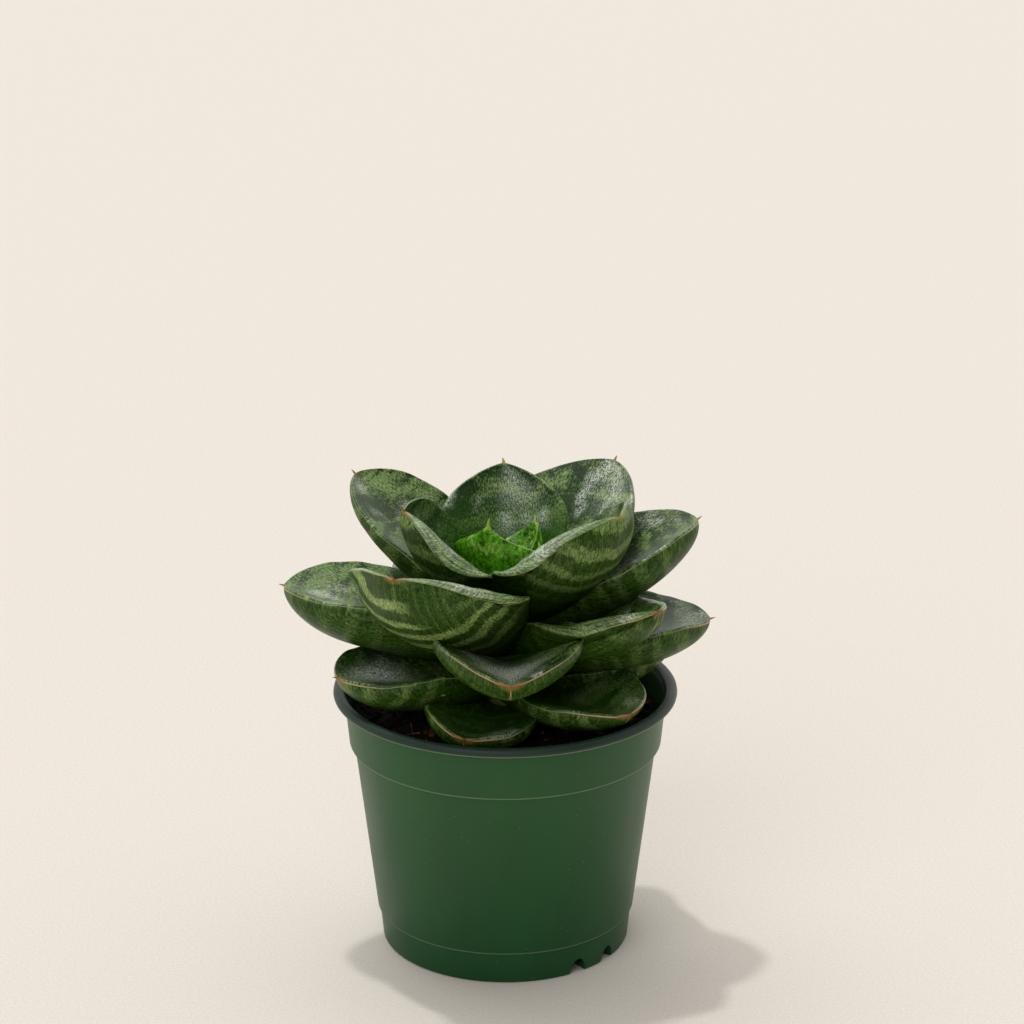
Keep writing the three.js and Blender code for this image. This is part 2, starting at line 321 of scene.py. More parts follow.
HEART = LeafAge.HEART
LEAVES = [
    LeafShape("heart_spear", 112, 108, 31, 9, (66, 76), (85, 60), 2.5, taper=1.1, widest=0.35,
              base_width=0.8, wave=0, start_radius=1, age=HEART, fresh=1, cork=0),
    LeafShape("heart_front", -27, 112, 33, 38, (62, 84), (80, 30), 3, taper=1.6, widest=0.42,
              spine=2.6, start_radius=2, age=HEART, fresh=1, cork=0),
    LeafShape("heart_back", 132, 110, 30, 22, (60, 78), (80, 40), 3, taper=1.2, widest=0.45,
              spine=2.2, start_radius=2, age=HEART, fresh=1, cork=0),
    LeafShape("top_back", 181, 110, 48, 41, (45, 66), (60, 26), 5, taper=0.85, cloud=1.0,
              fresh=1.0, cork=0, painted_highlight_spot=(-0.3, 0.82, 0.6)),
    LeafShape("top_left", -67, 109, 50, 47, (37, 68), (70, 50), 5, base_width=0.6, roll=-7,
              bands=0.5, fresh=0.85, cork=0.05, curl=(0, 110), curl_share=0.26),
    LeafShape("top_right", 52, 108, 60, 57, (28, 66), (70, 47), 6, base_width=0.65, widest=0.62,
              bands=0.5, fresh=0.9, cork=0.03, curl=(120, 0), curl_share=0.2),
    LeafShape("high_left_front", -38, 98.5, 65, 60, (14, 60), (60, 42), 6, roll=10, bands=1.0,
              fresh=0.6, cork=0.35, curl=(30, 105), curl_share=0.17),
    LeafShape("high_left_back", -113, 104, 66, 46, (40, 46), (60, 18), 6, roll=-2, cloud=1.0,
              fresh=0.3, cork=0.05, painted_highlight_spot=(0.6, 0.5, 0.8)),
    LeafShape("high_right_back", 136, 105, 64, 51, (37, 48), (60, 24), 5, taper=0.75, cloud=1.0,
              fresh=0.4, cork=0.05, painted_highlight_spot=(-0.45, 0.85, 0.9)),
    LeafShape("high_back", 170, 97, 60, 36, (38, 38), (60, 20), 6, fresh=0.3, cork=0.1),
    LeafShape("high_right", 98, 102, 68, 46, (34, 29), (60, 18), 10, cloud=0.8, fresh=0.2,
              bands=0.2, cork=0.3, painted_highlight_spot=(-0.35, 0.55, 0.7)),
    LeafShape("mid_right_front", 57, 100, 57, 37, (16, 28), (60, 24), 9, roll=-6, bands=0.35,
              cork=0.9, curl=(75, 40), curl_share=0.26),
    LeafShape("mid_front", 2, 96, 50, 47, (17, 3), (60, 14), 9, keel=0.3, wave=0.4, bands=0.15,
              cloud=1.0, cork=0.8, painted_highlight_spot=(0, 0.72, 2.4)),
    LeafShape("mid_left", -94, 96.5, 70, 45, (22, 11), (60, 18), 12, roll=1, cloud=0.85,
              bands=0.2, cork=0.35, painted_highlight_spot=(0.5, 0.5, 0.8)),
    LeafShape("mid_right", 91, 94, 63, 41, (14, 9), (60, 18), 10, bands=0.2, cork=0.8,
              painted_highlight_spot=(-0.3, 0.7, 0.6)),
    LeafShape("mid_back_left", -154, 94, 62, 40, (21, 14), (60, 18), 9, cork=0.5),
    LeafShape("mid_back_right", 148, 90, 62, 38, (22, 14), (60, 18), 8, cork=0.5),
    LeafShape("low_left", -68, 87, 54, 38, (10, 8), (50, 14), 10, taper=0.5, bands=0.3,
              cork=0.7, painted_highlight_spot=(0, 0.72, 1.8)),
    LeafShape("low_front", -15, 80, 46, 35, (8, 6), (50, 16), 8, roll=-6, cloud=0.3, bands=0.2,
              cork=1.0),
    LeafShape("low_right", 47, 84, 50, 40, (8, 4), (50, 14), 8, taper=0.52, cloud=0.4, bands=0.3,
              cork=0.9),
    LeafShape("low_right_back", 102, 82, 52, 32, (16, 12), (50, 20), 8, cork=0.5),
    LeafShape("low_back", 165, 83, 48, 34, (10, 6), (50, 16), 8, cork=0.6),
    LeafShape("low_left_back", -133, 85, 50, 36, (12, 8), (50, 16), 8, cork=0.6),
]


@dataclass
class SnakeLeaf:
    """One thick leaf: a closed skin round a curved blade that ends in a thin spine."""

    shape: LeafShape
    sides: int = 104  # points round a section
    blade_rows: int = 140  # sections along the blade
    spine_rows: int = 10  # sections along the spine
    middle_steps: int = 24  # steps that the middle line is summed in
    curl_steps: int = 12  # steps that a curled margin is summed in
    spine_width: float = 0.9
    relief: float = 0.35  # height of the slow swells in the skin

    def half_width(self, s: Array) -> Array:
        """How far the margins are from the leaf's middle.

        Args:
            s: Places along the blade, from 0 to 1.

        Returns:
            Half of the leaf's width at each place, in millimetres.
        """
        leaf = self.shape
        swell = np.sin(np.pi / 2 * np.clip(s / leaf.widest, 0, 1)) ** 1.2
        close = np.clip((s - leaf.widest) / (1 - leaf.widest), 0, 1)
        opening = leaf.base_width + (1 - leaf.base_width) * swell
        share = np.where(s < leaf.widest, opening, (1 - close**2) ** leaf.taper)
        spine = np.clip((s - 0.8) / 0.15, 0, 1)
        return leaf.width / 2 * share + self.spine_width / 2 * spine

    def depth(self, s: Array, half_width: Array) -> Array:
        """How thick the leaf is along its middle.

        Args:
            s: Places along the blade, from 0 to 1.
            half_width: Half of the leaf's width there.

        Returns:
            The thickness at each place, in millimetres.
        """
        swell = 0.55 + 0.45 * np.sin(np.pi / 2 * np.clip(s / 0.55, 0, 1))
        thin = (1 - np.clip((s - 0.55) / 0.45, 0, 1) ** 2.4) ** 0.55
        full = np.maximum(self.shape.thickness * swell * thin, self.spine_width)
        return np.minimum(full, half_width * 1.2)

    def middle(self, t: Array) -> tuple[Array, Array]:
        """Points of the middle line before the leaf is turned to its bearing.

        Args:
            t: Shares of the way from the base to the tip.

        Returns:
            How far out from the stem's axis, and how high, each point is.
        """
        leaf = self.shape
        places = t[:, None] * (np.arange(self.middle_steps) + 0.5) / self.middle_steps
        rise = np.radians(leaf.rise[0] + (leaf.rise[1] - leaf.rise[0]) * places)
        stride = leaf.length * t / self.middle_steps
        out = leaf.start_radius + np.cos(rise).sum(1) * stride
        return out, leaf.start + np.sin(rise).sum(1) * stride

    def swells(self, x: Array, y: Array, period: float, seed: int) -> Array:
        """Slow irregular waves between about -1 and 1, from a few crossed sines.

        Args:
            x: Places across the leaf, in millimetres.
            y: Places along the leaf, in millimetres.
            period: The distance from wave to wave, in millimetres.
            seed: The seed of their directions.

        Returns:
            The height of the waves at each place.
        """
        chance = random.Random(f"{self.shape.name} {seed}")
        total = np.zeros_like(x)
        for _ in range(6):
            angle = chance.uniform(0, FULL_TURN)
            turn = FULL_TURN / (period * chance.uniform(0.7, 1.5))
            phase = chance.uniform(0, FULL_TURN)
            total += np.sin(turn * (x * math.cos(angle) + y * math.sin(angle)) + phase)
        return total / 4

    def build(self, material: Material) -> Piece:
        """Move a sphere's rows on to the leaf's sections and dress it.

        Args:
            material: The leaf's skin.

        Returns:
            The finished leaf.
        """
        leaf = self.shape
        rows = self.blade_rows + self.spine_rows
        shape = bmesh.new()
        bmesh.ops.create_uvsphere(shape, u_segments=self.sides, v_segments=rows, radius=1)
        ball = np.array([vert.co for vert in shape.verts], float)
        row = np.round(np.arccos(np.clip(ball[:, 2], -1, 1)) / np.pi * rows)
        girth = np.hypot(ball[:, 0], ball[:, 1])
        at_pole = girth < 1e-5
        u = np.where(at_pole, 0, ball[:, 0] / np.maximum(girth, 1e-9))
        side = np.where(at_pole, 0, ball[:, 1] / np.maximum(girth, 1e-9))
        side[np.abs(side) < 1e-4] = 0

        blade_end = 1 - leaf.spine / leaf.length
        on_blade = blade_end * (1 - (1 - np.minimum(row / self.blade_rows, 1)) ** 1.3)
        on_spine = np.clip((row - self.blade_rows) / self.spine_rows, 0, 1)
        t = on_blade + (1 - blade_end) * on_spine
        s = np.minimum(t / blade_end, 1)
        points, facts = self.section_points(t, s, on_spine, u, side, at_pole)

        for vert, point in zip(shape.verts, points):
            vert.co = point * MM
        bmesh.ops.recalc_face_normals(shape, faces=shape.faces)
        piece = piece_from(f"snake_leaf_{leaf.name}", shape, material)
        for name, values in facts.items():
            layer = piece.data.attributes.new(name, "FLOAT_VECTOR", "POINT")
            layer.data.foreach_set("vector", np.stack(values, -1).astype(np.float32).ravel())
        return fit_piece(piece, leaf.age.value, f"leaf_{leaf.name}")

    def section_curve(
        self, half: Array, arc: Array, u: Array, grip: Array
    ) -> tuple[Array, Array, Array]:
        """The curve across the leaf: an arc whose ends may curl outwards.

        Args:
            half: Half of the leaf's width.
            arc: Half of the arc, in radians.
            u: Place across, -1 and 1 on the margins.
            grip: How much of the curl there is, from 0 to 1.

        Returns:
            How far sideways each point is, how far it is lifted, and how far its face leans.
        """
        start = 1 - self.shape.curl_share
        curl = np.radians(np.where(u < 0, self.shape.curl[0], self.shape.curl[1])) * grip
        stretch = 1 + 0.8 * grip * (curl > 0)
        inner = np.minimum(np.abs(u), start)
        outer = np.maximum(np.abs(u) - start, 0)
        sideways = half * np.sin(arc * inner) / arc
        lift = half * (1 - np.cos(arc * inner)) / arc
        stride = half * outer * stretch / self.curl_steps
        for step in range(self.curl_steps):
            past = outer * (step + 0.5) / self.curl_steps
            lean = arc * (inner + past) - curl * np.sqrt(past / self.shape.curl_share) * (past > 0)
            sideways += stride * np.cos(lean)
            lift += stride * np.sin(lean)
        lean = arc * np.abs(u) - curl * np.sqrt(outer / self.shape.curl_share)
        return np.sign(u) * sideways, lift, np.sign(u) * lean

    def section_points(
        self,
        t: Array,
        s: Array,
        on_spine: Array,
        u: Array,
        side: Array,
        at_pole: Array,
    ) -> tuple[Array, dict[str, tuple[Array, ...]]]:
        """Points of the skin, and the facts that its finish reads.

        Args:
            t: Place along the leaf, from 0 at the base to 1 at the tip.
            s: Place along the blade, 1 all along the spine.
            on_spine: Place along the spine, 0 all along the blade.
            u: Place across, -1 and 1 on the margins.
            side: Positive on the upper face, negative on the lower one.
            at_pole: Whether the point is the very base or tip.

        Returns:
            The points in millimetres, and three values a point for each named attribute.
        """
        leaf = self.shape
        chance = random.Random(leaf.name)
        rise = np.radians(leaf.rise[0] + (leaf.rise[1] - leaf.rise[0]) * t)
        arc = np.radians(leaf.cup[1] + (leaf.cup[0] - leaf.cup[1]) * (1 - t) ** 1.6)
        half = self.half_width(s) * (1 - on_spine) ** 0.7
        half = np.where(at_pole, 0, np.maximum(half, 0.02))
        deep = self.depth(s, half)
        x, y = u * half, t * leaf.length

        fade = np.clip(s * 2, 0, 1) * np.clip((1 - s) * 6, 0, 1)
        phase = np.where(u < 0, 0, 0.6)
        ripple = leaf.wave * np.abs(u) ** 3 * np.sin(FULL_TURN * (1.3 * s + phase)) * fade
        ripple += 0.35 * np.abs(u) ** 4 * self.swells(u * 40, y, 9, 3) * fade
        fold = leaf.keel * (np.sqrt(u * u + 0.01) - 0.1)
        grip = np.clip((s - 0.28) / 0.5, 0, 1)
        grip = grip * grip * (3 - 2 * grip)
        sideways, lift, lean = self.section_curve(half, arc, u, grip)
        lift += half * fold + ripple
        lift += self.relief * self.swells(x, y * 0.6, 20, 1) * (1 - u**4) * fade

        edge = half * (1 - np.abs(u))
        round_off = np.minimum(leaf.lip, deep * 0.55)
        near = np.clip(1 - edge / np.maximum(round_off, 1e-3), 0, 1) ** 1.2
        top = -round_off * (1 - np.sqrt(1 - near**2))
        belly = (1 - np.abs(u) ** 2.6) ** 0.55
        bottom = -round_off - (deep - round_off) * belly
        streaks = 0.06 * self.swells(u * 30, y * 0.08, 5, 2) * fade * (1 - np.abs(u) ** 6)
        offset = np.where(side > 0, top + streaks, np.where(side < 0, bottom - streaks, -round_off))
        from_rim = np.hypot(edge, offset + round_off)

        roll = math.radians(leaf.roll)
        face = np.stack([np.zeros_like(t), np.sin(rise), np.cos(rise)], -1)
        across = np.array([1.0, 0, 0])
        rolled_across = across * math.cos(roll) + face * math.sin(roll)
        rolled_face = face * math.cos(roll) - across * math.sin(roll)
        lean = lean[:, None]
        normal = rolled_face * np.cos(lean) - rolled_across * np.sin(lean)

        out, height = self.middle(t)
        sweep = leaf.spine * on_spine**2 * chance.uniform(-0.35, 0.35)
        points = np.stack([sweep, -out, height], -1)
        points += rolled_across * sideways[:, None] + rolled_face * lift[:, None]
        points += normal * offset[:, None]
        turn = math.radians(leaf.bearing)
        turn = np.array([(math.cos(turn), math.sin(turn)), (-math.sin(turn), math.cos(turn))])
        points[:, :2] = points[:, :2] @ turn

        curls = np.where(u < 0, leaf.curl[0], leaf.curl[1]) > 0
        curled = curls * grip * np.clip(1 - (1 - np.abs(u)) / leaf.curl_share, 0, 1)
        # A painted highlight spot, round the place and with the strength that the leaf gives.
        painted_highlight_spot = ((u - leaf.painted_highlight_spot[0]) / 0.35) ** 2 + ((t - leaf.painted_highlight_spot[1]) / 0.17) ** 2
        painted_highlight_spot = leaf.painted_highlight_spot[2] * np.exp(-painted_highlight_spot)
        level = np.ones_like(t)
        blade_left = (1 - t) * leaf.length - leaf.spine
        facts = {
            "leaf_mm": (x, y, level * chance.uniform(0, 900)),
            "leaf_place": (u, t, side),
            "leaf_edge": (from_rim, blade_left, level * leaf.cork),
            "leaf_habit": (level * leaf.bands, level * leaf.cloud, level * leaf.fresh),
            "leaf_curl_highlight": (curled, painted_highlight_spot, edge),
        }
        return points, facts


class LeafRecipe(Recipe):
    """A leaf's material, with what the leaf's attributes say at each place as sockets.

    The spot is millimetres across and along the leaf, and a number of the leaf's own. Across is -1
    and 1 on the margins, along is 0 at the base and 1 at the tip, and side is positive on the
    upper face. Margin, to_tip, run and inward are millimetres: from the sharp edge, to the end of
    the blade, from the base, and from the edge over the face.
    """

    def __init__(self, name: str, speckle: Pair, grain: float, streak: float) -> None:
        """Read the leaf's attributes and make its fine patterns.

        Args:
            name: The material's name.
            speckle: The size of the speckle across and along the leaf.
            grain: The size of the grains of wax.
            streak: The distance between the lengthwise lines.
        """
        super().__init__(name)
        self.spot = self.add("Attribute", output="Vector", attribute_name="leaf_mm")
        self.run = self.add("SeparateXYZ", (self.spot,), output=1)
        self.across, self.along, self.side = self.facts("leaf_place")
        self.margin, self.to_tip, self.cork = self.facts("leaf_edge")
        self.bands, self.clouds, self.fresh = self.facts("leaf_habit")
        self.curled, self.painted_highlight_spot, self.inward = self.facts("leaf_curl_highlight")
        self.speck = self.pattern(self.spot, (*speckle, 1), detail=2.5, roughness=0.65)
        self.grain = self.pattern(self.spot, (grain, grain, 1), detail=1)
        self.lines = self.pattern(self.spot, (streak, 45, 1), roughness=0.6)

    def facts(self, name: str) -> list[Socket]:
        """The three values of one of the leaf's attributes."""
        whole = self.add("Attribute", output="Vector", attribute_name=name)
        return [self.add("SeparateXYZ", (whole,), output=number) for number in range(3)]


@dataclass(frozen=True)
class LeafSkin:
    """The waxy cuticle of a living snake plant leaf.

    The flesh is dark green. Paler cross bands and clouds break up into a fine speckle, and the
    wax gives a broad, grainy shine. Whitish grainy painted highlights lie on the outer upper face,
    painted shade darkens the undersides towards the base inside the rosette, and the curled
    margins are pale, partly with painted sheen. The margins are a thin hard rim, green when young
    and corky orange-brown near the tip when old. Sizes in pairs are millimetres across and along
    the leaf, and a pair of reaches is where a thing ends and where it is full.
    """

    name: str
    upper: str = "1c3e07"
    # whitish colour of the painted highlights on the upper face
    cloud: str = "7f9a58"
    painted_highlight: str = "e2eadb"
    under: str = "2c4a0f"
    band: str = "8ba45f"
    fresh: str = "2a5206"
    # painted shade on the undersides towards the base, inside the rosette
    shade: str = "102803"
    # colours of the curled margins' upper face: partly its own pale colour, partly painted sheen
    lip: str = "8fa473"
    lip_dark: str = "456029"
    rim: str = "a9b673"
    cork: str = "dda67c"
    spine: str = "8c6a35"
    scar: str = "b9a873"
    roughness: Pair = (0.34, 0.5)
    ior: float = 1.45  # plant wax
    wax: Pair = (0.12, 0.5)  # weight of the wax underneath and on top
    wax_roughness: float = 0.2
    speckle: Pair = (0.42, 1.1)
    contrast: Pair = (0.36, 1.6)  # how far the speckle darkens and lightens
    grain: float = 0.4  # mm, drawn as coarse as shows
    streak: float = 0.9  # mm between the fine lengthwise lines
    bump: float = 0.2  # mm that the fine patterns stand up
    cloud_size: Pair = (20, 8)
    painted_highlight_size: Pair = (11, 16)
    band_pitch: float = 7.2  # mm from band to band
    band_sway: float = 9  # mm that the bands wander
    sway_size: Pair = (200 / 9, 100 / 3)
    break_size: Pair = (20, 25)  # where the bands are broken off
    lip_lines: Pair = (0.45, 9)  # mm from the edge, and along it
    scar_apart: Triple = (9, 12, 11)
    cork_reach: Pair = (11, 3)  # mm from the tip
    rim_reach: Pair = (0.32, 0.16)  # mm from the edge
    line_reach: Pair = (7, 1)  # mm from the tip
    line_width: Pair = (0.035, 0.012)  # shares of half of the leaf's width
    spine_reach: Pair = (0.9, -0.1)  # mm from the blade's end

    def build(self) -> Material:
        """Put the skin's nodes together.

        Returns:
            The finished material.
        """
        mix = LeafRecipe(self.name, self.speckle, self.grain, self.streak)
        shade = mix.add("MapRange", (mix.speck, 0.34, 0.68, *self.contrast))
        fine = mix.add("MapRange", (mix.grain, 0.3, 0.7, 0.75, 1.25))
        shade = mix.add("Math", (shade, fine), operation="MULTIPLY")
        colour = mix.add("VectorMath", {0: self.flesh(mix), "Scale": shade}, operation="SCALE")
        colour = self.painted_highlights_on_top(mix, colour)
        scars = mix.add("CombineXYZ", {2: mix.side})
        scars = mix.add("VectorMath", {0: scars, "Scale": 40.0}, operation="SCALE")
        scars = mix.add("VectorMath", (mix.spot, scars), operation="ADD")
        scars = mix.dots(scars, self.scar_apart, (0.8, 0.84), (0.085, 0.05), 0.75)
        colour = mix.cover(colour, self.scar, scars)
        colour = self.rim_and_spine(mix, colour)

        rough = mix.add("MapRange", (mix.speck, 0.35, 0.65, *self.roughness))
        height = mix.add("Math", (mix.speck, 0.8, mix.grain), operation="MULTIPLY_ADD")
        height = mix.add("Math", (mix.lines, height), operation="ADD")
        bump = mix.add("Bump", {"Strength": 0.5, "Distance": self.bump * MM, "Height": height})
        outer = mix.add("MapRange", (mix.along, 0.35, 0.8, 0.05, 1))
        wax = mix.add("MapRange", (mix.side, -0.3, 0.1, *self.wax))
        wax = mix.add("Math", (wax, outer), operation="MULTIPLY")
        shine = mix.add("MapRange", (wax, 0, 0.5, 0.05, 0.25))
        return mix.finish({
            "Base Color": colour, "Roughness": rough, "Normal": bump, "IOR": self.ior,
            "Specular IOR Level": shine, "Coat Weight": wax, "Coat IOR": self.ior,
            "Coat Roughness": self.wax_roughness, "Coat Normal": bump,
        })

    def flesh(self, mix: LeafRecipe) -> Socket:
        """Dark flesh with clouds on top, bands underneath that fade under painted shade inside the
        rosette, and pale curled margins with some painted sheen.

        Args:
            mix: The material.

        Returns:
            The colour of both faces.
        """
        patch = mix.pattern(mix.spot, (*self.cloud_size, 1), 3.5, 0.6, 0.7)
        patch = mix.add("Math", (mix.speck, 0.5, patch), operation="MULTIPLY_ADD")
        patch = mix.add("MapRange", (patch, 0.67, 0.9), **SMOOTH)
        vein = mix.add("MapRange", (mix.lines, 0.66, 0.74, 0, 0.45))
        upper = mix.cover(self.upper, self.cloud, patch, mix.clouds)
        upper = mix.cover(upper, self.cloud, vein)

        sway = mix.pattern(mix.spot, (*self.sway_size, 1))
        run = mix.add("Math", (sway, self.band_sway * 2, mix.run), operation="MULTIPLY_ADD")
        run = mix.add("Math", (run, FULL_TURN / self.band_pitch), operation="MULTIPLY")
        stripe = mix.add("Math", (run,), operation="SINE")
        stripe = mix.add("Math", (mix.speck, 2.4, stripe), operation="MULTIPLY_ADD")
        stripe = mix.add("MapRange", (stripe, 0.9, 2.0), **SMOOTH)
        keep = mix.pattern(mix.spot, (*self.break_size, 1), detail=1, shift=(5, 9, 0))
        keep = mix.add("MapRange", (keep, 0.36, 0.52))
        reach = mix.add("MapRange", (mix.along, 0.2, 0.5))
        vein = mix.add("MapRange", (mix.lines, 0.48, 0.75, 0, 0.22))
        under = mix.cover(self.under, self.band, keep, reach, mix.bands, stripe)
        under = mix.cover(under, self.band, vein, reach)
        # Painted shade: the undersides darken towards the base, deepest on the greener, higher
        # leaves.
        inside = mix.add("MapRange", (mix.along, 0.8, 0.42), **SMOOTH)
        depth = mix.add("MapRange", (mix.fresh, 0.4, 0.7, 0.1, 0.95))
        under = mix.cover(under, self.shade, inside, depth)

        on_top = mix.add("MapRange", (mix.side, -0.12, 0.02))
        colour = mix.cover(under, upper, on_top)
        near_base = mix.add("MapRange", (mix.along, 0.85, 0.4), **SMOOTH)
        colour = mix.cover(colour, self.fresh, near_base, mix.fresh, on_top)
        # The curled margins' upper face, pale with fine lines along the edge: partly its own
        # colour, partly painted sheen.
        curled = mix.add("MapRange", (mix.curled, 0.05, 0.45, 0, 0.8))
        lined = mix.add("CombineXYZ", (mix.inward, mix.run))
        lined = mix.pattern(lined, (*self.lip_lines, 1))
        lined = mix.add("MapRange", (lined, 0.38, 0.62))
        return mix.cover(colour, mix.cover(self.lip_dark, self.lip, lined), curled, on_top)

    def painted_highlights_on_top(self, mix: LeafRecipe, colour: Socket) -> Socket:
        """Painted highlights: whitish grainy patches on the outer half of the upper face.

        Args:
            mix: The material.
            colour: The colour so far.

        Returns:
            The colour with the painted highlights.
        """
        patch = mix.pattern(mix.spot, (*self.painted_highlight_size, 1), shift=(9, 4, 3))
        patch = mix.add("MapRange", (patch, 0.52, 0.7), **SMOOTH)
        outer = mix.add("MapRange", (mix.along, 0.4, 0.65))
        share = mix.add("Math", (patch, outer), operation="MULTIPLY")
        share = mix.add("Math", (share, mix.clouds), operation="MULTIPLY")
        # The leaf's painted highlight spot adds to the painted highlight patches.
        share = mix.add("Math", (share, mix.painted_highlight_spot), operation="MAXIMUM")
        dots = mix.add("Math", (mix.speck, 0.8, mix.grain), operation="MULTIPLY_ADD")
        dots = mix.add("MapRange", (dots, 0.84, 1.02, 0.12))
        on_top = mix.add("MapRange", (mix.side, 0, 0.1))
        return mix.cover(colour, self.painted_highlight, share, dots, on_top, 0.85)

    def rim_and_spine(self, mix: LeafRecipe, colour: Socket) -> Socket:
        """The hard rim along the margins, the line under the tip and the spine.

        Args:
            mix: The material.
            colour: The colour so far.

        Returns:
            The colour with the rim, the line and the spine.
        """
        old = mix.add("MapRange", (mix.to_tip, *self.cork_reach))
        old = mix.add("Math", (old, mix.cork), operation="MULTIPLY")
        rim = mix.cover(self.rim, self.cork, old)
        reach = mix.add("Math", (old, -0.12, mix.margin), operation="MULTIPLY_ADD")
        reach = mix.add("Math", (mix.speck, 0.35, reach), operation="MULTIPLY_ADD")
        on_rim = mix.add("MapRange", (reach, *self.rim_reach, 0, 0.8))
        colour = mix.cover(colour, rim, on_rim)

        centre = mix.add("Math", (mix.across,), operation="ABSOLUTE")
        centre = mix.add("MapRange", (centre, *self.line_width))
        below = mix.add("MapRange", (mix.side, 0, -0.2))
        close = mix.add("MapRange", (mix.to_tip, *self.line_reach))
        aged = mix.add("MapRange", (mix.cork, 0.2, 0.8, 0, 0.8))
        colour = mix.cover(colour, rim, centre, below, close, aged)

        on_spine = mix.add("MapRange", (mix.to_tip, *self.spine_reach))
        browned = mix.add("MapRange", (mix.cork, 0, 0.06))
        return mix.cover(colour, mix.cover(self.rim, self.spine, browned), on_spine)


SKINS = {
    LeafAge.GROWN: LeafSkin("leaf_cuticle"),
    LeafAge.HEART: LeafSkin(
        "heart_leaf_cuticle", upper="3f7412", cloud="86b048", under="4c8a14", band="a5c862",
        fresh="5fa018", shade="4a920c", rim="b3c865", contrast=(0.3, 1.9), speckle=(0.9, 1.5),
    ),
}


# ---------------------------------------------------------------------------- pot


@dataclass(frozen=True)
class MouldedPolypropylene:
    """Recycled polypropylene, injection moulded.

    It has a satin face with faint flow marks and dust, painted shade that darkens it towards the
    foot, and painted highlights as pale lines along its ledges. Heights are millimetres above the
    floor, and a pair of them is where a colour starts and is full.
    """

    colour: str = "205027"
    # Painted shade: the foot is darker, fading out between the two heights that follow.
    painted_shade_foot: str = "0b4720"
    painted_shade_heights: Pair = (5, 62)
    lip_colour: str = "1f3329"
    lip_heights: Pair = (81.9, 82.2)
    dust: str = "93a187"
    dust_apart: float = 2.2
    ledge_highlight: str = "7f9a78"
    ledge_highlight_heights: tuple[float, ...] = (10.7, 66.6, 82.3)  # painted highlight lines on the ledges
    ledge_highlight_width: Pair = (0.45, 0.1)  # mm from the line where the painted highlight ends, is full
    roughness: Pair = (0.36, 0.5)
    ior: float = 1.49
    texture: float = 0.5  # mm, drawn coarser than the mould's grain so that it shows
    flow_size: Triple = (22, 22, 60)
    bump: float = 0.05  # mm that the grain stands up

    def build(self) -> Material:
        """Put the plastic's nodes together.

        Returns:
            The finished material.
        """
        mix = Recipe("moulded_polypropylene")
        spot = mix.add("TexCoord", output="Object")
        spot = mix.add("VectorMath", {0: spot, "Scale": 1 / MM}, operation="SCALE")
        up = mix.add("SeparateXYZ", (spot,), output=2)
        grain = mix.pattern(spot, (self.texture,) * 3)
        flow = mix.pattern(spot, self.flow_size, detail=3)
        # Painted shade: the plastic darkens towards the foot.
        body = mix.add("MapRange", (up, *self.painted_shade_heights))
        lip = mix.add("MapRange", (up, *self.lip_heights))
        colour = mix.cover(mix.cover(self.painted_shade_foot, self.colour, body), self.lip_colour, lip)
        shade = mix.add("MapRange", (flow, 0.3, 0.7, 0.88, 1.12))
        colour = mix.add("VectorMath", {0: colour, "Scale": shade}, operation="SCALE")
        # Painted highlights: pale lines along the ledges.
        for height in self.ledge_highlight_heights:
            off = mix.add("Math", (up, height), operation="SUBTRACT")
            off = mix.add("Math", (off,), operation="ABSOLUTE")
            off = mix.add("MapRange", (off, *self.ledge_highlight_width, 0, 0.55))
            colour = mix.cover(colour, self.ledge_highlight, off)
        specks = mix.dots(spot, (self.dust_apart,) * 3, (0.72, 0.95), (0.12, 0.04), 0.45)
        colour = mix.cover(colour, self.dust, specks)

        rough = mix.add("MapRange", (flow, 0.3, 0.7, *self.roughness))
        height = mix.add("Math", (flow, 3.0, grain), operation="MULTIPLY_ADD")
        bump = mix.add("Bump", {"Strength": 0.25, "Distance": self.bump * MM, "Height": height})
        return mix.finish({
            "Base Color": colour, "Roughness": rough, "Normal": bump, "IOR": self.ior,
            "Specular IOR Level": 0.3,
        })


